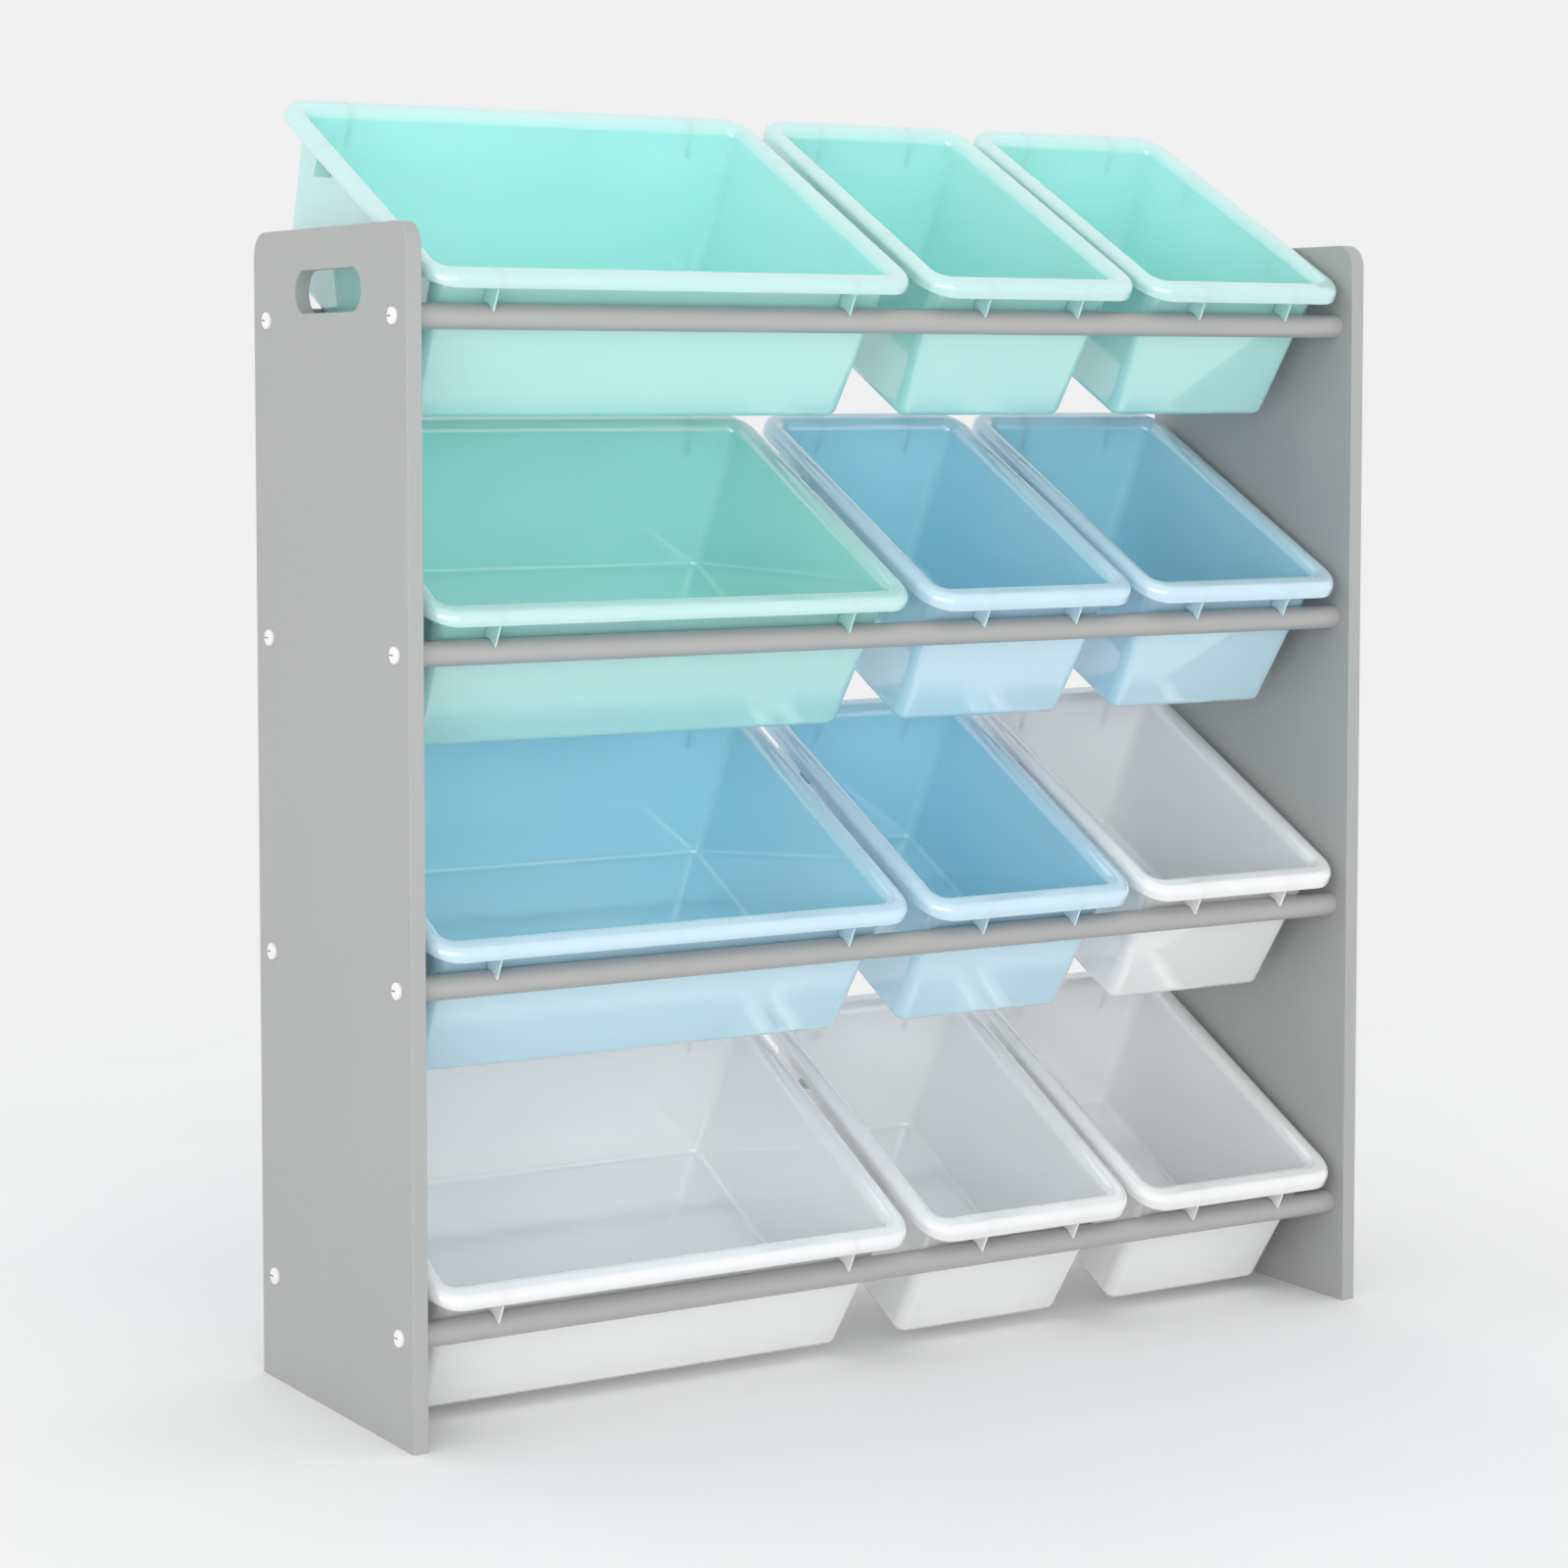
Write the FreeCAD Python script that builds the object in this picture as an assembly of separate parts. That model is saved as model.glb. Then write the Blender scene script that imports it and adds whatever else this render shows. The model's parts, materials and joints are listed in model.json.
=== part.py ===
# Toy-bin storage rack: two side panels, eight tube rails and twelve loose bins that hang tilted
# on the rails. Millimetres and degrees. X runs across, Y to the rear and Z up. The origin is on the
# floor, in the middle of the space that the rack and its bins take up.
import FreeCAD, Part
import math
import os

# Side panels
panel_height = 858.0
panel_depth = 260.0
panel_thickness = 12.0
panel_corner_radius = 18.0
panel_edge_round = 1.0
hand_slot_length = 113.0
hand_slot_height = 31.0
hand_slot_drop = 30.0

# Rails, in evenly spaced rows, with a little extra height over the bottom row
rail_diameter = 18.5
rail_wall = 1.2
front_rail_inset = 20.5
rear_rail_inset = 25.0
bottom_rail_height = 78.5
bottom_row_extra = 11.0
top_rail_drop = 65.0

# Bolts and the threaded plugs in the rail ends
bolt_diameter = 6.0
bolt_reach = 16.0
bolt_head_diameter = 12.5
bolt_head_thickness = 2.6
bolt_head_round = 1.2
bolt_slot_width = 1.0
bolt_slot_depth = 0.7
bolt_slot_past_middle = 0.6
bolt_hole_clearance = 0.3
plug_length = 20.0
plug_clearance = 0.05
thread_clearance = 0.05

# Bins: the rim's plan size, the height and the walls
bin_length = 297.0
large_bin_width = 404.0
small_bin_width = 196.0
bin_height = 128.0
bin_wall = 2.2
end_wall_draft = 4.3
side_wall_draft = 3.4
wall_corner_radius = 10.0
floor_round = 7.0

# Bin rim, measured from the wall's inner face to the outside of the lip
end_rim_reach = 20.0
side_rim_reach = 16.5
rim_corner_radius = 28.0
rim_outer_round = 7.0
rim_flat = 1.0
large_lip_depth = 10.0
small_lip_depth = 12.2
lip_wall = 2.0
lip_edge_round = 0.8

# Ribs under the rim
rib_thickness = 1.5
end_rib_from_side = 55.0
side_rib_from_end = 83.5
side_rib_drop = 26.5

# How a bin hangs: the front rail's axis lies this far under the rim's top, and the end ribs sit on the rail
hook_drop = 36.8
rib_notch_depth = 1.0
seat_clearance = 0.3
front_wall_gap = 0.5

# Gaps across a row, from the left panel to the right one
left_panel_gap = 4.5
large_to_small_gap = 11.5
small_to_small_gap = 7.7
right_panel_gap = 6.3

# Worked out from the values above
rail_radius = rail_diameter / 2
rows_above = ("lower", "upper", "top")
top_rail_height = panel_height - top_rail_drop
even_rows_start = bottom_rail_height + bottom_row_extra
row_pitch = (top_rail_height - even_rows_start) / len(rows_above)
row_heights = {"bottom": bottom_rail_height}
for i, row in enumerate(rows_above):
    row_heights[row] = even_rows_start + (i + 1) * row_pitch
front_rail_y = front_rail_inset - panel_depth / 2
rear_rail_y = panel_depth / 2 - rear_rail_inset
rail_spacing = rear_rail_y - front_rail_y
rail_length = (
    left_panel_gap + large_bin_width + large_to_small_gap + small_bin_width
    + small_to_small_gap + small_bin_width + right_panel_gap
)
inner_face_x = rail_length / 2
outer_face_x = inner_face_x + panel_thickness
plug_bore_radius = bolt_diameter / 2 + thread_clearance
rim_inner_round = side_rim_reach - rim_outer_round - rim_flat

# The bin's own frame has its origin in the middle of the floor's underside, with Z square to the floor
end_slope = math.tan(math.radians(end_wall_draft))
side_slope = math.tan(math.radians(side_wall_draft))
hook_z = bin_height - hook_drop
seat_radius = rail_radius + seat_clearance
end_rib_foot = hook_z + seat_radius - rib_notch_depth
wall_top_y = bin_length / 2 - end_rim_reach + bin_wall
wall_at_hook_y = wall_top_y - hook_drop * end_slope
hook_y = -wall_at_hook_y - (rail_radius + front_wall_gap) / math.cos(math.radians(end_wall_draft))
bin_tilt = math.degrees(math.asin((hook_z + seat_radius) / rail_spacing))

# Middle of each bin along the row
large_bin_x = -inner_face_x + left_panel_gap + large_bin_width / 2
middle_bin_x = large_bin_x + large_bin_width / 2 + large_to_small_gap + small_bin_width / 2
right_bin_x = middle_bin_x + small_bin_width + small_to_small_gap

over_cut = 5.0
tiny = 1e-4


def vec(x, y, z):
    return FreeCAD.Vector(x, y, z)


def x_cylinder(radius, x_start, x_end, y, z):
    """A round bar along X from x_start to x_end."""
    return Part.makeCylinder(radius, x_end - x_start, vec(x_start, y, z), vec(1, 0, 0))


def rail_places():
    """Y and Z of every rail's axis."""
    return [(y, z) for z in row_heights.values() for y in (front_rail_y, rear_rail_y)]


def panel_outline():
    """Outer outline of a side panel in the plane X = 0: square foot, rounded top corners."""
    half = panel_depth / 2
    shoulder = panel_height - panel_corner_radius
    inset = half - panel_corner_radius
    bend = panel_corner_radius * math.sqrt(0.5)
    rear_bend = vec(0, inset + bend, shoulder + bend)
    front_bend = vec(0, -inset - bend, shoulder + bend)
    edges = [
        Part.LineSegment(vec(0, -half, 0), vec(0, half, 0)),
        Part.LineSegment(vec(0, half, 0), vec(0, half, shoulder)),
        Part.Arc(vec(0, half, shoulder), rear_bend, vec(0, inset, panel_height)),
        Part.LineSegment(vec(0, inset, panel_height), vec(0, -inset, panel_height)),
        Part.Arc(vec(0, -inset, panel_height), front_bend, vec(0, -half, shoulder)),
        Part.LineSegment(vec(0, -half, shoulder), vec(0, -half, 0)),
    ]
    return Part.Wire([edge.toShape() for edge in edges])


def hand_slot(x_start, x_end):
    """Round-ended slot to lift the rack by."""
    radius = hand_slot_height / 2
    reach = hand_slot_length / 2 - radius
    z = panel_height - hand_slot_drop - radius
    middle = Part.makeBox(x_end - x_start, 2 * reach, hand_slot_height, vec(x_start, -reach, z - radius))
    ends = [x_cylinder(radius, x_start, x_end, y, z) for y in (-reach, reach)]
    return middle.fuse(ends).removeSplitter()


def lies_on(edge, x):
    """True for an edge that lies in the plane at this X."""
    return abs(edge.BoundBox.XMin - x) < tiny and abs(edge.BoundBox.XMax - x) < tiny


def side_panel(side):
    """One painted board; side is -1 for the left panel and 1 for the right one."""
    x_start = min(side * inner_face_x, side * outer_face_x)
    x_end = x_start + panel_thickness
    board = Part.Face(panel_outline()).extrude(vec(panel_thickness, 0, 0))
    board.translate(vec(x_start, 0, 0))
    board = board.cut(hand_slot(x_start - over_cut, x_end + over_cut))
    rims = [edge for edge in board.Edges if lies_on(edge, x_start) or lies_on(edge, x_end)]
    board = board.makeFillet(panel_edge_round, rims)
    hole_radius = bolt_diameter / 2 + bolt_hole_clearance
    holes = [x_cylinder(hole_radius, x_start - over_cut, x_end + over_cut, y, z) for y, z in rail_places()]
    return board.cut(holes).Solids[0]


def rail(y, z):
    """Steel tube whose ends butt on the panels."""
    outside = x_cylinder(rail_radius, -inner_face_x, inner_face_x, y, z)
    bore = x_cylinder(rail_radius - rail_wall, -inner_face_x - over_cut, inner_face_x + over_cut, y, z)
    return outside.cut(bore)


def threaded_plug(side, y, z):
    """Plug in a rail's end, flush with the panel, bored for the bolt."""
    x_ends = sorted((side * inner_face_x, side * (inner_face_x - plug_length)))
    body = x_cylinder(rail_radius - rail_wall - plug_clearance, *x_ends, y, z)
    bore = x_cylinder(plug_bore_radius, x_ends[0] - over_cut, x_ends[1] + over_cut, y, z)
    return body.cut(bore)


def rail_bolt(side, y, z):
    """Bolt through a panel: low round head with half a slot, shank in the plug's thread."""
    crown_x = outer_face_x + bolt_head_thickness
    head_radius = bolt_head_diameter / 2
    head = x_cylinder(head_radius, outer_face_x, crown_x, y, z)
    head = head.makeFillet(bolt_head_round, [edge for edge in head.Edges if lies_on(edge, crown_x)])
    slot_corner = vec(crown_x - bolt_slot_depth, y - bolt_slot_past_middle, z - bolt_slot_width / 2)
    slot_length = bolt_slot_past_middle + head_radius + over_cut
    slot = Part.makeBox(bolt_slot_depth + over_cut, slot_length, bolt_slot_width, slot_corner)
    shank = x_cylinder(bolt_diameter / 2, inner_face_x - bolt_reach, outer_face_x, y, z)
    bolt = head.cut(slot).fuse(shank).removeSplitter()
    if side < 0:
        bolt = bolt.mirror(vec(0, 0, 0), vec(1, 0, 0))
    return bolt


def rounded_block(width, length, corner, z_start, z_end):
    """Upright block centred on Z with its four upright edges rounded."""
    block = Part.makeBox(width, length, z_end - z_start, vec(-width / 2, -length / 2, z_start))
    upright = [edge for edge in block.Edges if edge.BoundBox.ZLength > tiny]
    return block.makeFillet(corner, upright)


def level_edges(shape, z):
    """Edges that lie in the level plane at this height."""
    flat = [edge for edge in shape.Edges if edge.BoundBox.ZLength < tiny]
    return [edge for edge in flat if abs(edge.BoundBox.ZMin - z) < tiny]


def tub(width, inset, z_start, z_end, corner, floor_edge):
    """Tapered block with the tub's outer faces, drawn in by inset, between two heights."""
    rings = []
    for z in (z_start, z_end):
        half_x = width / 2 - side_rim_reach + bin_wall - inset - (bin_height - z) * side_slope
        half_y = wall_top_y - inset - (bin_height - z) * end_slope
        signs = ((-1, -1), (1, -1), (1, 1), (-1, 1))
        rings.append([vec(sx * half_x, sy * half_y, z) for sx, sy in signs])
    low, high = rings
    outlines = [low[::-1], high]
    for i in range(4):
        j = (i + 1) % 4
        outlines.append([low[i], low[j], high[j], high[i]])
    faces = [Part.Face(Part.makePolygon(points + points[:1])) for points in outlines]
    block = Part.Solid(Part.Shell(faces))
    upright = [edge for edge in block.Edges if edge.BoundBox.ZLength > tiny]
    block = block.makeFillet(corner, upright)
    return block.makeFillet(floor_edge, level_edges(block, z_start))


def rib_plates(width):
    """Blocks, as thick as a rib, at the two ribs of each end and of each side."""
    end_x = width / 2 - end_rib_from_side
    side_y = bin_length / 2 - side_rib_from_end
    plates = []
    for sign in (-1, 1):
        plates.append(Part.makeBox(
            rib_thickness, bin_length, bin_height,
            vec(sign * end_x - rib_thickness / 2, -bin_length / 2, 0),
        ))
        plates.append(Part.makeBox(
            width, rib_thickness, bin_height,
            vec(-width / 2, sign * side_y - rib_thickness / 2, 0),
        ))
    return plates


def within_tub(edge, width):
    """True for an edge whose middle lies inside the tub's mouth rather than at the lip."""
    middle = edge.valueAt((edge.FirstParameter + edge.LastParameter) / 2)
    mouth_x = width / 2 - side_rim_reach + bin_wall
    return abs(middle.x) < mouth_x and abs(middle.y) < wall_top_y


def rim_groove(width, lip_depth, outer_tub):
    """Hollow under the rim, between the lip and the tub, with the ribs left standing in it."""
    roof = bin_height - bin_wall
    foot = bin_height - lip_depth - over_cut
    corner = rim_corner_radius - lip_wall
    block = rounded_block(width - 2 * lip_wall, bin_length - 2 * lip_wall, corner, foot, roof)
    groove = block.cut(outer_tub)
    at_wall = [edge for edge in level_edges(groove, roof) if within_tub(edge, width)]
    groove = groove.makeFillet(rim_inner_round - bin_wall, at_wall)
    at_lip = [edge for edge in level_edges(groove, roof) if not within_tub(edge, width)]
    groove = groove.makeFillet(rim_outer_round - lip_wall, at_lip)
    return groove.cut(rib_plates(width))


def end_ribs(width, lip_depth):
    """Lower parts of the end ribs, notched at the foot to sit on a rail."""
    top = bin_height - lip_depth + lip_wall
    outer_y = bin_length / 2 - lip_wall
    inner_y = wall_top_y - (bin_height - end_rib_foot) * end_slope - bin_wall / 2
    end_x = width / 2 - end_rib_from_side
    ribs = []
    for x in (-end_x, end_x):
        start = vec(x - rib_thickness / 2, -outer_y, end_rib_foot)
        plate = Part.makeBox(rib_thickness, outer_y - inner_y, top - end_rib_foot, start)
        notch = x_cylinder(seat_radius, x - over_cut, x + over_cut, hook_y, hook_z)
        front_rib = plate.cut(notch)
        ribs += [front_rib, front_rib.mirror(vec(0, 0, 0), vec(0, 1, 0))]
    return ribs


def side_ribs(width, lip_depth):
    """Lower parts of the side ribs, square at the foot."""
    top = bin_height - lip_depth + lip_wall
    foot = bin_height - side_rib_drop
    outer_x = width / 2 - lip_wall
    inner_x = width / 2 - side_rim_reach + bin_wall / 2 - side_rib_drop * side_slope
    side_y = bin_length / 2 - side_rib_from_end
    ribs = []
    for y in (-side_y, side_y):
        start = vec(-outer_x, y - rib_thickness / 2, foot)
        left_rib = Part.makeBox(outer_x - inner_x, rib_thickness, top - foot, start)
        ribs += [left_rib, left_rib.mirror(vec(0, 0, 0), vec(1, 0, 0))]
    return ribs


def bin_moulding(width, lip_depth):
    """One bin in its own frame: tapered tub, rolled rim with a turned-down lip, ribs under the rim."""
    lip_foot = bin_height - lip_depth
    outer_tub = tub(width, 0, 0, bin_height, wall_corner_radius, floor_round)
    hollow = tub(
        width, bin_wall, bin_wall, bin_height + over_cut,
        wall_corner_radius - bin_wall, floor_round - bin_wall,
    )
    rim = rounded_block(width, bin_length, rim_corner_radius, lip_foot, bin_height)
    rim = rim.makeFillet(rim_outer_round, level_edges(rim, bin_height))
    rim = rim.makeFillet(lip_edge_round, level_edges(rim, lip_foot))
    rim = rim.cut(rim_groove(width, lip_depth, outer_tub))
    pieces = [rim] + end_ribs(width, lip_depth) + side_ribs(width, lip_depth)
    body = outer_tub.fuse(pieces).removeSplitter().cut(hollow)
    mouth = [edge for edge in level_edges(body, bin_height) if within_tub(edge, width)]
    return body.makeFillet(rim_inner_round, mouth).Solids[0]


def hang(moulding, x, rail_z):
    """Copy of a bin, tilted and hung on the rails of one row."""
    tilt = math.radians(bin_tilt)
    place_y = front_rail_y - hook_y * math.cos(tilt) + hook_z * math.sin(tilt)
    place_z = rail_z - hook_y * math.sin(tilt) - hook_z * math.cos(tilt)
    hung = moulding.copy()
    hung.rotate(vec(0, 0, 0), vec(1, 0, 0), bin_tilt)
    hung.translate(vec(x, place_y, place_z))
    return hung


def all_nodes():
    """Every piece, named, about the middle of the panels' depth."""
    nodes = {}
    large = bin_moulding(large_bin_width, large_lip_depth)
    small = bin_moulding(small_bin_width, small_lip_depth)
    for side, word in ((-1, "left"), (1, "right")):
        nodes[f"{word}_side_panel"] = side_panel(side)
        nodes[f"{word}_rail_bolts"] = Part.makeCompound([rail_bolt(side, *at) for at in rail_places()])
        nodes[f"{word}_rail_plugs"] = Part.makeCompound([threaded_plug(side, *at) for at in rail_places()])
    for row, z in row_heights.items():
        nodes[f"{row}_front_rail"] = rail(front_rail_y, z)
        nodes[f"{row}_rear_rail"] = rail(rear_rail_y, z)
        nodes[f"{row}_large_bin"] = hang(large, large_bin_x, z)
        nodes[f"{row}_middle_bin"] = hang(small, middle_bin_x, z)
        nodes[f"{row}_right_bin"] = hang(small, right_bin_x, z)
    return nodes


nodes = all_nodes()
bin_box = nodes["top_right_bin"].optimalBoundingBox(False, False)
front_y = min(-panel_depth / 2, bin_box.YMin)
rear_y = max(panel_depth / 2, bin_box.YMax)
depth_middle = (front_y + rear_y) / 2
os.makedirs("parts", exist_ok=True)
for name, shape in nodes.items():
    shape.translate(vec(0, -depth_middle, 0))
    shape.exportStep(f"parts/{name}.step")
print(f"{len(nodes)} nodes, bins tilted {bin_tilt:.2f} degrees, depth middle at {depth_middle:.3f}")
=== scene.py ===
# %% [markdown]
# # A toy-bin storage rack
# Two painted boards hold eight tube rails, and twelve plastic bins hang tilted on the rails. The
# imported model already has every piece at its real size, so this lesson only gives the pieces their
# looks: the bins and rails are modelled again with soft, smooth edges, and every surface gets its
# finish.

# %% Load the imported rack
import json
import math

import bmesh
import bpy
from mathutils import Matrix, Vector


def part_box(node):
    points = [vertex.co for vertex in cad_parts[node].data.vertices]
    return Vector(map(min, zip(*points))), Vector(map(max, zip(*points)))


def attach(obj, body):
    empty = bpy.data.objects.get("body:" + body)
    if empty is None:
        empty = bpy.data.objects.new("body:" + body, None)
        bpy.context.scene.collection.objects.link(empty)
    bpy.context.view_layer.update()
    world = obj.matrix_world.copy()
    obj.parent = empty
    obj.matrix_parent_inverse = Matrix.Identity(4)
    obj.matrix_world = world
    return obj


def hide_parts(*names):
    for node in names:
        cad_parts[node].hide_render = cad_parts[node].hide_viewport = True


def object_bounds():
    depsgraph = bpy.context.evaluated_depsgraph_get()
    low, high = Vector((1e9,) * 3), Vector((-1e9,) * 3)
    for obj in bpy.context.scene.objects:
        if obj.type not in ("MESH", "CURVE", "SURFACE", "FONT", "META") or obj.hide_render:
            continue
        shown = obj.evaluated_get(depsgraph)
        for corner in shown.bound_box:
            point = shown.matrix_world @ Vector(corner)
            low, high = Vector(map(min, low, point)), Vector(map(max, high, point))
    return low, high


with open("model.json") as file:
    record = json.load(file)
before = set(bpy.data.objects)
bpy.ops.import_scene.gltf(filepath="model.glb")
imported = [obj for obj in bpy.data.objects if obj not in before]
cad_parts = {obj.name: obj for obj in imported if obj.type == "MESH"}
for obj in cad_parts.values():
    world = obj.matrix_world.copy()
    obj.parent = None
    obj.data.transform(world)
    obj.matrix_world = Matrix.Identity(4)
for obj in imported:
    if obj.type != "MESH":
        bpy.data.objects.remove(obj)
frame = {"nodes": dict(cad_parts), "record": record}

cad_low, cad_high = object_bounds()
slot_of = {part["node"]: part["material_slot"] for part in frame["record"]["subparts"]}
print("nodes:", len(frame["nodes"]), "size:", [round(side, 4) for side in cad_high - cad_low])

# %% [markdown]
# ## Where the rails are
# Everything on the rack hangs on its rails, so their axes are read from the frame first. Each row
# has a front rail and a rear rail at one height.

# %% Read the rails' axes
rows = ("bottom", "lower", "upper", "top")
columns = ("large", "middle", "right")


def box_middle(node):
    low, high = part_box(node)
    return (low + high) / 2


rail_low, rail_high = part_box("top_front_rail")
rail_radius = (rail_high.z - rail_low.z) / 2
front_axis = {row: box_middle(f"{row}_front_rail") for row in rows}
rear_axis = {row: box_middle(f"{row}_rear_rail") for row in rows}
rail_spacing = rear_axis["top"].y - front_axis["top"].y
print("rail radius", round(rail_radius, 5), "spacing", round(rail_spacing, 4))

# %% [markdown]
# ## A material kit
# Each finish is a Principled shader with a little noise in its colour, its roughness and its bump.
# The noise reads Object coordinates, in metres, so a scale of 100 makes grains about a centimetre
# wide. Its values stay about their middle, so they are spread out from a narrow range. The helpers
# below keep each finish to a few lines.

# %% Helpers for finishes
noise_low = 0.3
noise_high = 0.7
cloud_shade = 0.975  # how far the clouds in a colour darken it


def new_finish(name):
    """A material with an empty Principled shader; returns the material and its node tree."""
    material = bpy.data.materials.new(name)
    material.use_nodes = True
    return material, material.node_tree


def shader_of(tree):
    return tree.nodes["Principled BSDF"]


def noise(tree, scale, detail):
    """Noise on Object coordinates."""
    place = tree.nodes.new("ShaderNodeTexCoord")
    texture = tree.nodes.new("ShaderNodeTexNoise")
    texture.inputs["Scale"].default_value = scale
    texture.inputs["Detail"].default_value = detail
    tree.links.new(place.outputs["Object"], texture.inputs["Vector"])
    return texture.outputs["Fac"]


def spread_noise(tree, factor, low, high):
    """The noise's usual range, spread out between two values."""
    spread = tree.nodes.new("ShaderNodeMapRange")
    spread.inputs["From Min"].default_value = noise_low
    spread.inputs["From Max"].default_value = noise_high
    spread.inputs["To Min"].default_value = low
    spread.inputs["To Max"].default_value = high
    tree.links.new(factor, spread.inputs["Value"])
    return spread.outputs["Result"]


print("noise helpers ready")

# %% Helpers for colour, gloss and bump
def two_tone(tree, factor, dark, light):
    """Colour between two near tones."""
    ramp = tree.nodes.new("ShaderNodeValToRGB")
    ramp.color_ramp.elements[0].position = noise_low
    ramp.color_ramp.elements[1].position = noise_high
    ramp.color_ramp.elements[0].color = (*dark, 1)
    ramp.color_ramp.elements[1].color = (*light, 1)
    tree.links.new(factor, ramp.inputs["Fac"])
    tree.links.new(ramp.outputs["Color"], shader_of(tree).inputs["Base Color"])


def vary_roughness(tree, factor, low, high):
    tree.links.new(spread_noise(tree, factor, low, high), shader_of(tree).inputs["Roughness"])


def add_bump(tree, factor, height, strength):
    """Chains one more bump, whose height is in metres, onto the shader's normal."""
    shader = shader_of(tree)
    bump = tree.nodes.new("ShaderNodeBump")
    bump.inputs["Distance"].default_value = height
    bump.inputs["Strength"].default_value = strength
    before = shader.inputs["Normal"].links
    if before:
        tree.links.new(before[0].from_socket, bump.inputs["Normal"])
    tree.links.new(factor, bump.inputs["Height"])
    tree.links.new(bump.outputs["Normal"], shader.inputs["Normal"])


print("finish helpers ready")

# %% [markdown]
# ## Bin plastic
# The bins are injection moulded: a glossy skin over plastic that lets a little light in. Three
# colours share one recipe, and each colour has a tone for the outside, the rim and the inside. The
# inside tone is painted light: deeper and brighter, as light gathering inside a tub makes the
# colour. The paler rim tone is a painted reflection. A mesh attribute called skin picks among them.
# A slow noise shades the tone slightly, a middle one makes the gloss uneven, a long wave bends
# reflections as moulded walls do, and a very fine grain breaks up the highlights.

# %% Recipe for the plastic
# skin value of the rim, whose paler tone is a painted reflection; the inside's painted light rises
# to 1
rim_skin = 0.5
plastic_settings = {
    "IOR": 1.5,
    "Coat Weight": 1.0,
    "Coat Roughness": 0.05,
    "Coat IOR": 2.2,
    "Subsurface Weight": 0.6,
    "Subsurface Scale": 0.007,
    "Subsurface Radius": (1.0, 1.0, 1.0),
}


def painted_light_tones(tree, outside, rim, inside):
    """Colour by skin, in faint clouds: outside at 0, rim halfway (painted reflection), inside at 1
    (painted light).
    """
    skin = tree.nodes.new("ShaderNodeAttribute")
    skin.attribute_name = "skin"
    ramp = tree.nodes.new("ShaderNodeValToRGB")
    stops = ramp.color_ramp.elements
    stops[0].color = (*outside, 1)
    stops[1].color = (*inside, 1)
    stops.new(rim_skin).color = (*rim, 1)
    clouds = spread_noise(tree, noise(tree, scale=9.0, detail=2.0), cloud_shade, 1.0)
    shaded = tree.nodes.new("ShaderNodeVectorMath")
    shaded.operation = "SCALE"
    tree.links.new(skin.outputs["Fac"], ramp.inputs["Fac"])
    tree.links.new(ramp.outputs["Color"], shaded.inputs["Vector"])
    tree.links.new(clouds, shaded.inputs["Scale"])
    tree.links.new(shaded.outputs["Vector"], shader_of(tree).inputs["Base Color"])


def bin_plastic(name, outside, rim, inside):
    material, tree = new_finish(name)
    painted_light_tones(tree, outside, rim, inside)
    vary_roughness(tree, noise(tree, scale=60.0, detail=4.0), low=0.13, high=0.2)
    add_bump(tree, noise(tree, scale=14.0, detail=1.0), height=0.0006, strength=0.25)
    add_bump(tree, noise(tree, scale=1400.0, detail=2.0), height=0.00002, strength=0.3)
    for socket, value in plastic_settings.items():
        shader_of(tree).inputs[socket].default_value = value
    return material


print("plastic settings:", list(plastic_settings))

# %% Make the plastic finishes
# In each plastic below, the rim tone is a painted reflection and the inside tone is painted light.
finishes = {
    "bin_mint": bin_plastic(
        "mint_bin_plastic",
        outside=(0.436, 0.78, 0.75), rim=(0.515, 0.82, 0.79), inside=(0.445, 0.895, 0.844)),
    "bin_blue": bin_plastic(
        "blue_bin_plastic",
        outside=(0.544, 0.802, 0.965), rim=(0.565, 0.78, 0.96), inside=(0.452, 0.80, 0.99)),
    "bin_white": bin_plastic(
        "white_bin_plastic",
        outside=(0.975, 0.975, 0.97), rim=(0.95, 0.96, 0.965), inside=(0.945, 0.972, 0.982)),
}
print("plastics:", sorted(finishes))

# %% [markdown]
# ## Paint
# The boards have a satin grey paint with the faint stipple that a roller or spray leaves. The rails
# have the same grey on smooth steel, a little glossier. The bolt heads are white, and their slots
# get a grey paint that is painted shade. The plugs sit unseen in the rails' ends, and get a plain
# matt plastic.

# %% Make the paints
roughness_spread = 0.04


def paint(name, tone, roughness, stipple_scale, stipple_height):
    """Paint with clouds in its tone, an uneven roughness and a stipple of the given size."""
    material, tree = new_finish(name)
    deep = [channel * cloud_shade for channel in tone]
    low, high = roughness - roughness_spread, roughness + roughness_spread
    two_tone(tree, noise(tree, scale=5.0, detail=2.0), deep, tone)
    vary_roughness(tree, noise(tree, scale=130.0, detail=3.0), low, high)
    add_bump(tree, noise(tree, stipple_scale, detail=3.0), stipple_height, strength=0.4)
    return material


finishes["panel_grey"] = paint(
    "satin_grey_board_paint", (0.40, 0.41, 0.40), 0.48, 700.0, 0.00008)
finishes["rail_grey"] = paint(
    "satin_grey_rail_paint", (0.42, 0.42, 0.41), 0.36, 900.0, 0.00003)
finishes["bolt_white"] = paint(
    "white_bolt_paint", (0.86, 0.86, 0.85), 0.3, 1500.0, 0.00002)
# The grey in the bolts' slots is painted shade.
finishes["bolt_slot"] = paint(
    "grey_bolt_slot_paint", (0.24, 0.24, 0.24), 0.5, 1500.0, 0.00002)
finishes["plug_black"] = paint(
    "black_plug_plastic", (0.02, 0.02, 0.02), 0.6, 1200.0, 0.00003)
print("paints:", [name for name in finishes if not name.startswith("bin")])

# %% [markdown]
# ## From bmesh to piece
# Every new piece is finished the same way: it becomes a mesh with smooth shading that stops at
# sharp edges, its normals are weighted towards its large flat faces so that they stay flat to the
# eye, and it rides on the body of the CAD node that it stands for.

# %% Helper that finishes a piece
sharp_angle = math.radians(40)


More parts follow.
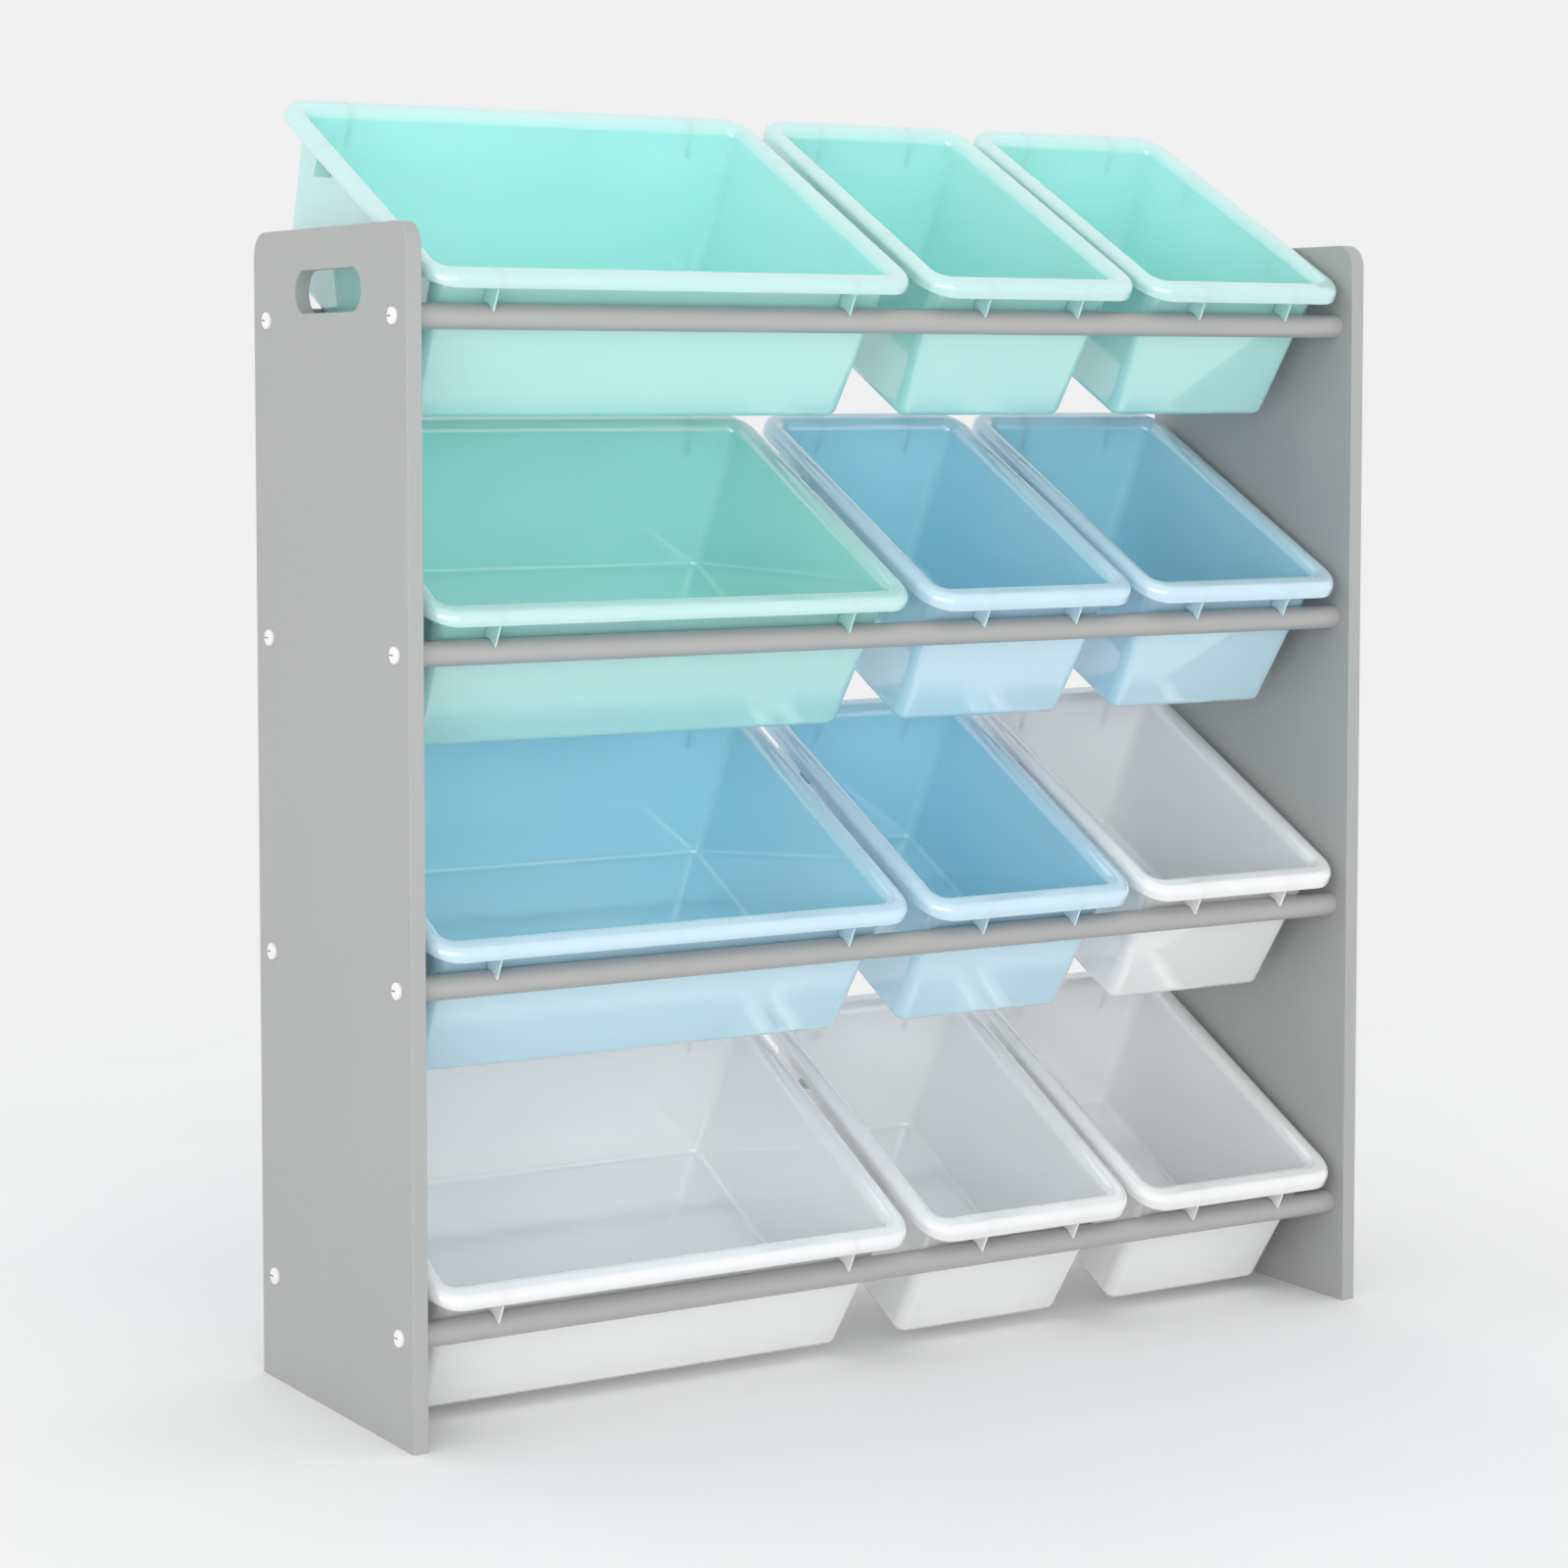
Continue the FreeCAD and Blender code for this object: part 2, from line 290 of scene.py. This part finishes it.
def finish_piece(bm, name, node, body):
    mesh = bpy.data.meshes.new(name)
    for face in bm.faces:
        face.smooth = True
    for edge in bm.edges:
        edge.smooth = edge.calc_face_angle(0) < sharp_angle
    bm.to_mesh(mesh)
    bm.free()
    piece = bpy.data.objects.new(name, mesh)
    bpy.context.scene.collection.objects.link(piece)
    mesh.materials.append(finishes[slot_of[node]])
    weighted = piece.modifiers.new("weighted_normals", "WEIGHTED_NORMAL")
    weighted.keep_sharp = True
    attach(piece, body)
    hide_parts(node)
    return piece


print("piece helper ready")

# %% [markdown]
# ## The bin's measures
# A bin is a tapered tub with a rolled rim. The rim reaches further out over the ends than over the
# sides, turns down into a lip, and has thin ribs under it. The same measures as in the solid model
# are repeated here, in metres. In the bin's own frame, the origin is in the middle of the floor's
# underside.

# %% Bin measures
bin_length = 0.297
bin_height = 0.128
bin_wall = 0.0022
end_slope = math.tan(math.radians(4.3))
side_slope = math.tan(math.radians(3.4))
wall_corner_radius = 0.010
floor_round = 0.007
end_rim_reach = 0.020
side_rim_reach = 0.0165
rim_outer_round = 0.007
rim_flat = 0.001
rim_inner_round = side_rim_reach - rim_outer_round - rim_flat
lip_depths = {"large": 0.010, "middle": 0.0122, "right": 0.0122}
lip_edge_round = 0.0008
print("lip depths:", lip_depths)

# %% Helpers for edges
corner_segments = 10
round_segments = 8
floor_segments = 4
lip_edge_segments = 3
thin_edge_segments = 2
tiny = 1e-6
facing = 0.9  # a face looks along an axis if its normal has more than this of it
sideways = 0.2  # and it runs along the axis if its normal has less than this of it


def bevel(bm, edges, radius, segments):
    bmesh.ops.bevel(bm, geom=edges, offset=radius, offset_type="OFFSET", affect="EDGES",
                    segments=segments, profile=0.5, material=-1, clamp_overlap=True)


def verts_in(geometry):
    return [part for part in geometry if isinstance(part, bmesh.types.BMVert)]


def border_edges_in(geometry):
    edges = [part for part in geometry if isinstance(part, bmesh.types.BMEdge)]
    return [edge for edge in edges if edge.is_boundary]


def at_height(edge, z):
    return all(abs(vert.co.z - z) < tiny for vert in edge.verts)


def each_once(edges):
    """Drops repeats and keeps the order."""
    return list(dict.fromkeys(edges))


print("segments round a corner:", corner_segments)

# %% [markdown]
# ## The bin's shell
# One way to make such a shell is to draw its inside and give it a wall afterwards. A cube becomes
# the tapered inside, its upright edges and its floor's edges are bevelled round, and its open mouth
# is extruded out and down for the rim and the lip. Then the rim's two edges are bevelled, solidify
# adds the wall on the outside, and every vertex gets its place on the skin, which picks its tone:
# plain outside, a painted reflection on the rim and painted light inside the tub.

# %% The tub's inside
def tapered_inside(bm, width):
    """Open box with the tub's inner faces; its normals point into the hollow."""
    bmesh.ops.create_cube(bm, size=1.0)
    for vert in bm.verts:
        z = bin_height if vert.co.z > 0 else bin_wall
        half_x = width / 2 - side_rim_reach - (bin_height - z) * side_slope
        half_y = bin_length / 2 - end_rim_reach - (bin_height - z) * end_slope
        vert.co = (math.copysign(half_x, vert.co.x), math.copysign(half_y, vert.co.y), z)
    lid = [face for face in bm.faces if face.normal.z > facing]
    bmesh.ops.delete(bm, geom=lid, context="FACES_ONLY")
    level = [edge for edge in bm.edges if at_height(edge, edge.verts[0].co.z)]
    upright = [edge for edge in bm.edges if edge not in level]
    bevel(bm, upright, wall_corner_radius - bin_wall, corner_segments)
    floor_edges = [edge for edge in bm.edges if at_height(edge, bin_wall)]
    bevel(bm, floor_edges, floor_round - bin_wall, floor_segments)
    bmesh.ops.reverse_faces(bm, faces=bm.faces[:])


print("tub function ready")

# %% The rim and the lip
def extrude_rim(bm, width, lip_depth):
    """Rim round the mouth and lip below its outer edge."""
    mouth = border_edges_in(bm.edges)
    inner_radius = wall_corner_radius - bin_wall
    corner_x = width / 2 - side_rim_reach - inner_radius
    corner_y = bin_length / 2 - end_rim_reach - inner_radius
    grown = bmesh.ops.extrude_edge_only(bm, edges=mouth)["geom"]
    for vert in verts_in(grown):
        middle = Vector((math.copysign(corner_x, vert.co.x), math.copysign(corner_y, vert.co.y)))
        outward = (vert.co.xy - middle).normalized()
        vert.co.x += outward.x * side_rim_reach
        vert.co.y += outward.y * end_rim_reach
    outer = border_edges_in(grown)
    grown = bmesh.ops.extrude_edge_only(bm, edges=outer)["geom"]
    bmesh.ops.translate(bm, verts=verts_in(grown), vec=(0, 0, -lip_depth))
    bevel(bm, outer, rim_outer_round, round_segments)


def round_mouth(bm):
    """Roll between the tub's inside and the rim's top."""
    bm.normal_update()
    level = [edge for edge in bm.edges if at_height(edge, bin_height)]
    mouth = [edge for edge in level
             if any(abs(face.normal.z) < sideways for face in edge.link_faces)]
    bevel(bm, mouth, rim_inner_round, round_segments)


def round_lip_foot(bm, lip_foot):
    """Soft edges on the lip's lower rim, after the wall has its thickness."""
    feet = [face for face in bm.faces if all(at_height(edge, lip_foot) for edge in face.edges)]
    ring = set(feet)
    edges = each_once(edge for face in feet for edge in face.edges
                      if not ring.issuperset(edge.link_faces))
    bevel(bm, edges, lip_edge_round, lip_edge_segments)


print("rim functions ready")

# %% The whole shell
def mark_painted_light(bm, width):
    """Writes skin: 0 outside the tub, halfway on the rim (painted reflection), rising to 1 down
    inside (painted light).
    """
    skin = bm.verts.layers.float.new("skin")
    roll_x = width / 2 - side_rim_reach + rim_inner_round + tiny
    roll_y = bin_length / 2 - end_rim_reach + rim_inner_round + tiny
    bm.normal_update()
    for vert in bm.verts:
        drop = bin_height - vert.co.z
        faces_in = vert.normal.dot(vert.co - Vector((0, 0, bin_height))) < -tiny
        if abs(vert.co.x) > roll_x or abs(vert.co.y) > roll_y:
            vert[skin] = rim_skin
        elif faces_in:
            vert[skin] = min(1.0, rim_skin + (1.0 - rim_skin) * drop / rim_inner_round)
        elif drop < rim_inner_round:
            vert[skin] = rim_skin


def bin_shell(width, lip_depth):
    bm = bmesh.new()
    tapered_inside(bm, width)
    extrude_rim(bm, width, lip_depth)
    round_mouth(bm)
    bm.normal_update()
    bmesh.ops.solidify(bm, geom=bm.faces[:], thickness=bin_wall)
    round_lip_foot(bm, bin_height - lip_depth)
    mark_painted_light(bm, width)
    return bm


print("shell function ready")

# %% [markdown]
# ## Ribs under the rim
# Thin ribs stiffen the rim: two at each end and two on each side. The end ribs reach down to the
# front rail, and a shallow notch in the foot sits on it. A rib is drawn as an outline with arcs
# that follow the rim from inside its wall, filled, extruded to its thickness and softened at the
# edges. The hook is the place of the front rail's axis in the bin's frame.

# %% Rib measures
rib_thickness = 0.0015
rib_edge_round = 0.0002
end_rib_from_side = 0.055
side_rib_from_end = 0.0835
side_rib_drop = 0.0265
hook_drop = 0.0368
rib_notch_depth = 0.001
seat_clearance = 0.0003
front_wall_gap = 0.0005
rib_arc_steps = 5
seat_arc_steps = 8
hook_z = bin_height - hook_drop
hook_reach = end_rim_reach - bin_wall + hook_drop * end_slope
hook_from_lip = hook_reach - (rail_radius + front_wall_gap) / math.cos(math.atan(end_slope))
seat_radius = rail_radius + seat_clearance
end_rib_foot = hook_z + seat_radius - rib_notch_depth
print("end ribs reach", round(bin_height - end_rib_foot, 4), "m under the rim")

# %% Draw the ribs' outlines
def arc(middle, radius, start, end, steps):
    """Points on an arc, with angles in degrees."""
    angles = [math.radians(start + (end - start) * i / steps) for i in range(steps + 1)]
    return [(middle[0] + radius * math.cos(a), middle[1] + radius * math.sin(a)) for a in angles]


def rib_outline(reach, slope, foot, lip_foot):
    """Points (distance in from the lip's face, height) from the lip over the rim to the foot."""
    half = bin_wall / 2
    outer = (rim_outer_round, bin_height - rim_outer_round)
    inner = (reach - rim_inner_round, bin_height - rim_inner_round)
    wall_x = reach - half + (bin_height - foot) * slope
    points = [(bin_wall, lip_foot + half), (half, lip_foot + bin_wall)]
    points += arc(outer, rim_outer_round - half, 180, 90, rib_arc_steps)
    points += arc(inner, rim_inner_round - half, 90, 0, rib_arc_steps)
    return points + [(wall_x, foot)]


def end_rib_outline(lip_foot):
    points = rib_outline(end_rim_reach, end_slope, end_rib_foot, lip_foot)
    rise = math.degrees(math.asin((end_rib_foot - hook_z) / seat_radius))
    points += arc((hook_from_lip, hook_z), seat_radius, rise, 180 - rise, seat_arc_steps)
    return points + [(bin_wall, end_rib_foot)]


def side_rib_outline(lip_foot):
    foot = bin_height - side_rib_drop
    return rib_outline(side_rim_reach, side_slope, foot, lip_foot) + [(bin_wall, foot)]


print("outline functions ready")

# %% Model the ribs
def rib_plate(name, outline):
    """Mesh of one rib: the outline filled, extruded to the rib's thickness and softened."""
    bm = bmesh.new()
    face = bm.faces.new([bm.verts.new((x, -rib_thickness / 2, z)) for x, z in outline])
    grown = bmesh.ops.extrude_face_region(bm, geom=[face])["geom"]
    bmesh.ops.translate(bm, verts=verts_in(grown), vec=(0, rib_thickness, 0))
    bmesh.ops.recalc_face_normals(bm, faces=bm.faces[:])
    bm.normal_update()
    sides = [face for face in bm.faces if abs(face.normal.y) > facing]
    edges = each_once(edge for face in sides for edge in face.edges)
    bevel(bm, edges, rib_edge_round, thin_edge_segments)
    mesh = bpy.data.meshes.new(name)
    bm.to_mesh(mesh)
    bm.free()
    return mesh


print("rib function ready")

# %% [markdown]
# ## Twelve bins
# A shell and its ribs make one moulding. The wide moulding is used once in each row and the narrow
# one twice. Each copy is tilted so that its ribs sit on the front rail and its floor on the rear
# rail, and the tilt follows from the rails themselves.

# %% Put the bins together
def add_rib(bm, rib, turn, place):
    """Copies a rib into the moulding, turned about Z and moved."""
    copy = rib.copy()
    copy.transform(Matrix.Translation(place) @ Matrix.Rotation(math.radians(turn), 4, "Z"))
    bm.from_mesh(copy)
    bpy.data.meshes.remove(copy)


def bin_moulding(name, width, lip_depth):
    bm = bin_shell(width, lip_depth)
    end_rib = rib_plate("end_rib", end_rib_outline(bin_height - lip_depth))
    side_rib = rib_plate("side_rib", side_rib_outline(bin_height - lip_depth))
    end_x = width / 2 - end_rib_from_side
    side_y = bin_length / 2 - side_rib_from_end
    for sign in (-1, 1):
        add_rib(bm, end_rib, 90, (sign * end_x, -bin_length / 2, 0))
        add_rib(bm, end_rib, -90, (sign * end_x, bin_length / 2, 0))
        add_rib(bm, side_rib, 0, (-width / 2, sign * side_y, 0))
        add_rib(bm, side_rib, 180, (width / 2, sign * side_y, 0))
    mesh = bpy.data.meshes.new(name)
    bm.to_mesh(mesh)
    loose = sum(not edge.is_manifold for edge in bm.edges)
    print(name, "faces", len(bm.faces), "open edges", loose)
    bm.free()
    return mesh


def bin_width(column):
    low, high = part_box(f"top_{column}_bin")
    return high.x - low.x


mouldings = {}
for column in columns:
    mouldings[column] = bin_moulding(f"{column}_moulding", bin_width(column), lip_depths[column])

# %% Hang the bins on the rails
tilt = math.asin((hook_z + seat_radius) / rail_spacing)
turned = Matrix.Rotation(tilt, 4, "X")
hook = Vector((0, hook_from_lip - bin_length / 2, hook_z))
for row in rows:
    for column in columns:
        node = f"{row}_{column}_bin"
        place = front_axis[row] - turned @ hook
        place.x = box_middle(node).x
        bm = bmesh.new()
        bm.from_mesh(mouldings[column])
        bmesh.ops.transform(bm, matrix=Matrix.Translation(place) @ turned, verts=bm.verts[:])
        finish_piece(bm, f"{row}_{column}_moulded_bin", node, node)
print("bins tilted by", round(math.degrees(tilt), 2), "degrees")

# %% [markdown]
# ## Rails
# A rail is a painted steel tube that butts on the boards. Spinning a small rectangle, the section
# of the tube's wall, about the axis makes the outside, the bore and both ends at once. The ends are
# bevelled a little, as a deburred tube is.

# %% Spin the rails
rail_wall = 0.0012
rail_end_round = 0.0004
rail_steps = 64


def rail_tube(node):
    low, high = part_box(node)
    axis = box_middle(node)
    bm = bmesh.new()
    bore = rail_radius - rail_wall
    corners = [(low.x, bore), (high.x, bore), (high.x, rail_radius), (low.x, rail_radius)]
    section = [bm.verts.new((x, axis.y, axis.z + radius)) for x, radius in corners]
    loop = [bm.edges.new((section[i - 1], section[i])) for i in range(4)]
    bmesh.ops.spin(bm, geom=section + loop, cent=axis, axis=(1, 0, 0), angle=math.tau,
                   steps=rail_steps, use_merge=True, use_duplicate=False)
    bmesh.ops.remove_doubles(bm, verts=bm.verts[:], dist=tiny)
    bmesh.ops.recalc_face_normals(bm, faces=bm.faces[:])
    bm.normal_update()
    ends = [face for face in bm.faces if abs(face.normal.x) > facing]
    rims = each_once(edge for face in ends for edge in face.edges
                     if any(abs(other.normal.x) < sideways for other in edge.link_faces))
    bevel(bm, rims, rail_end_round, thin_edge_segments)
    return bm


for row in rows:
    for end in ("front", "rear"):
        node = f"{row}_{end}_rail"
        finish_piece(rail_tube(node), f"{row}_{end}_tube", node, "rack")
print("rails:", 2 * len(rows))

# %% [markdown]
# ## Bolts
# Each bolt has a low round head with half a slot. The solid bolts have that shape already, but the
# slot gets painted shade, a grey paint of its own. So a copy of their mesh is merged into closed
# skins, and the faces down in the slots get the painted shade as a second paint.

# %% Copy the bolts and paint shade into their slots
slot_depth = 0.0007
slot_half_width = 0.0005
slot_past_middle = 0.0006
rail_axes = list(front_axis.values()) + list(rear_axis.values())


def in_slot(middle, crown):
    """True for a face with this middle in its bolt's slot; the head ends at the crown's X."""
    axis = min(rail_axes, key=lambda place: (place.yz - middle.yz).length)
    depth = crown - abs(middle.x)
    along = middle.y - axis.y
    sunk = tiny < depth < slot_depth + tiny
    between_walls = abs(middle.z - axis.z) < slot_half_width + tiny
    return sunk and between_walls and along > -slot_past_middle - tiny


def slotted_bolts(node):
    bm = bmesh.new()
    bm.from_mesh(frame["nodes"][node].data)
    bmesh.ops.remove_doubles(bm, verts=bm.verts[:], dist=tiny)
    crown = max(abs(vert.co.x) for vert in bm.verts)
    for face in bm.faces:
        face.material_index = int(in_slot(face.calc_center_median(), crown))
    slot_faces = sum(face.material_index for face in bm.faces)
    print(node, "faces", len(bm.faces), "in slots", slot_faces)
    return bm


for side in ("left", "right"):
    node = f"{side}_rail_bolts"
    bolts = finish_piece(slotted_bolts(node), f"{side}_slotted_bolts", node, "rack")
    # the second paint is painted shade down in the slots
    bolts.data.materials.append(finishes["bolt_slot"])

# %% [markdown]
# ## Boards and plugs
# These CAD solids already have the right shape, so they stay and only get their paint.

# %% Paint the solids that stay
for node, solid in frame["nodes"].items():
    if not solid.hide_render:
        solid.data.materials.clear()
        solid.data.materials.append(finishes[slot_of[node]])
        print(node, "->", slot_of[node])

# %% [markdown]
# ## Floor and background
# The rack stands on a pale floor without a visible horizon. The floor is a plain white that takes
# the soft shadow, and far from the rack it fades, for the camera only, into the background of the
# world.

# %% Make the floor's paint
floor_half = 6.0
fade_start = 1.1
fade_end = 2.6


def floor_paint():
    material, tree = new_finish("pale_floor")
    nodes, links = tree.nodes, tree.links
    shader = shader_of(tree)
    shader.inputs["Roughness"].default_value = 0.9
    clouds = noise(tree, scale=3.0, detail=2.0)
    two_tone(tree, clouds, dark=(0.86, 0.865, 0.87), light=(0.88, 0.885, 0.89))
    place = nodes.new("ShaderNodeTexCoord")
    distance = nodes.new("ShaderNodeVectorMath")
    distance.operation = "LENGTH"
    fade = nodes.new("ShaderNodeMapRange")
    fade.interpolation_type = "SMOOTHERSTEP"
    fade.inputs["From Min"].default_value = fade_start
    fade.inputs["From Max"].default_value = fade_end
    seen = nodes.new("ShaderNodeLightPath")
    share = nodes.new("ShaderNodeMath")
    share.operation = "MULTIPLY"
    clear = nodes.new("ShaderNodeBsdfTransparent")
    mix = nodes.new("ShaderNodeMixShader")
    links.new(place.outputs["Object"], distance.inputs[0])
    links.new(distance.outputs["Value"], fade.inputs["Value"])
    links.new(fade.outputs["Result"], share.inputs[0])
    links.new(seen.outputs["Is Camera Ray"], share.inputs[1])
    links.new(share.outputs["Value"], mix.inputs["Fac"])
    links.new(shader.outputs["BSDF"], mix.inputs[1])
    links.new(clear.outputs["BSDF"], mix.inputs[2])
    links.new(mix.outputs["Shader"], nodes["Material Output"].inputs["Surface"])
    return material


print("floor fades from", fade_start, "to", fade_end, "m")

# %% Lay the floor
bm = bmesh.new()
bmesh.ops.create_grid(bm, x_segments=1, y_segments=1, size=floor_half)
floor_mesh = bpy.data.meshes.new("floor")
bm.to_mesh(floor_mesh)
bm.free()
floor_mesh.materials.append(floor_paint())
floor = bpy.data.objects.new("floor", floor_mesh)
bpy.context.scene.collection.objects.link(floor)
print("floor is", 2 * floor_half, "m wide")

# %% [markdown]
# ## Light
# The rack is lit as in a white studio tent. The world gives even light from all round, and shows
# the camera and every reflection a pale background. A large soft lamp low on the left lights the
# board and the bins' fronts, and another one before the rack lights the tubs.

# %% Set the world
tent_light = 1.0
background_grey = 0.87
world = bpy.data.worlds.new("studio")
bpy.context.scene.world = world
world.use_nodes = True
nodes, links = world.node_tree.nodes, world.node_tree.links
path = nodes.new("ShaderNodeLightPath")
seen = nodes.new("ShaderNodeMath")
seen.operation = "MAXIMUM"
seen_all = nodes.new("ShaderNodeMath")
seen_all.operation = "MAXIMUM"
shown = nodes.new("ShaderNodeBackground")
shown.inputs["Color"].default_value = (background_grey, background_grey, background_grey, 1)
lighting = nodes["Background"]
lighting.inputs["Color"].default_value = (1, 1, 1, 1)
lighting.inputs["Strength"].default_value = tent_light
choice = nodes.new("ShaderNodeMixShader")
links.new(path.outputs["Is Camera Ray"], seen.inputs[0])
links.new(path.outputs["Is Glossy Ray"], seen.inputs[1])
links.new(seen.outputs["Value"], seen_all.inputs[0])
links.new(path.outputs["Is Transmission Ray"], seen_all.inputs[1])
links.new(seen_all.outputs["Value"], choice.inputs["Fac"])
links.new(lighting.outputs["Background"], choice.inputs[1])
links.new(shown.outputs["Background"], choice.inputs[2])
links.new(choice.outputs["Shader"], nodes["World Output"].inputs["Surface"])
print("tent light", tent_light)

# %% Hang the soft lamps
def soft_lamp(name, place, target, size, power):
    lamp = bpy.data.lights.new(name, "AREA")
    lamp.shape = "DISK"
    lamp.size = size
    lamp.energy = power
    holder = bpy.data.objects.new(name, lamp)
    aim = Vector(target) - Vector(place)
    holder.location = place
    holder.rotation_euler = aim.to_track_quat("-Z", "Y").to_euler()
    bpy.context.scene.collection.objects.link(holder)


rack_middle = (cad_low + cad_high) / 2
soft_lamp("front_left_lamp", (-2.4, -2.4, 0.5), rack_middle, size=2.2, power=26.0)
soft_lamp("front_lamp", (-0.8, -3.4, 1.2), rack_middle, size=2.0, power=12.0)

# %% [markdown]
# ## Camera
# The camera stands where the photograph was taken from: left of the rack, a little below its top,
# with a long lens. The lens is given in pixels of a 1600 pixel wide picture and turned into
# millimetres of a 36 mm sensor. The camera looks nearly level, so that uprights stay nearly
# upright, and a small shift of the lens brings the rack to the middle of the picture.

# %% Place the camera
picture_width = 1600
lens_pixels = 3742.3
sensor_width = 36.0
camera_place = (-1.5207, -2.4217, 0.7409)
camera_yaw = -31.54
camera_pitch = -3.68
camera_shift = -0.1
camera_data = bpy.data.cameras.new("photo_camera")
camera_data.sensor_width = sensor_width
camera_data.lens = lens_pixels / picture_width * sensor_width
camera_data.shift_y = camera_shift
camera = bpy.data.objects.new("photo_camera", camera_data)
camera.location = camera_place
camera.rotation_euler = (math.radians(90 + camera_pitch), 0, math.radians(camera_yaw))
bpy.context.scene.collection.objects.link(camera)
bpy.context.scene.camera = camera
print("lens", round(camera_data.lens, 1), "mm")

# %% [markdown]
# ## Colour view
# The picture is shown with the Standard view, so colours come out about as they are written.

# %% Finish
bpy.context.scene.view_settings.view_transform = "Standard"
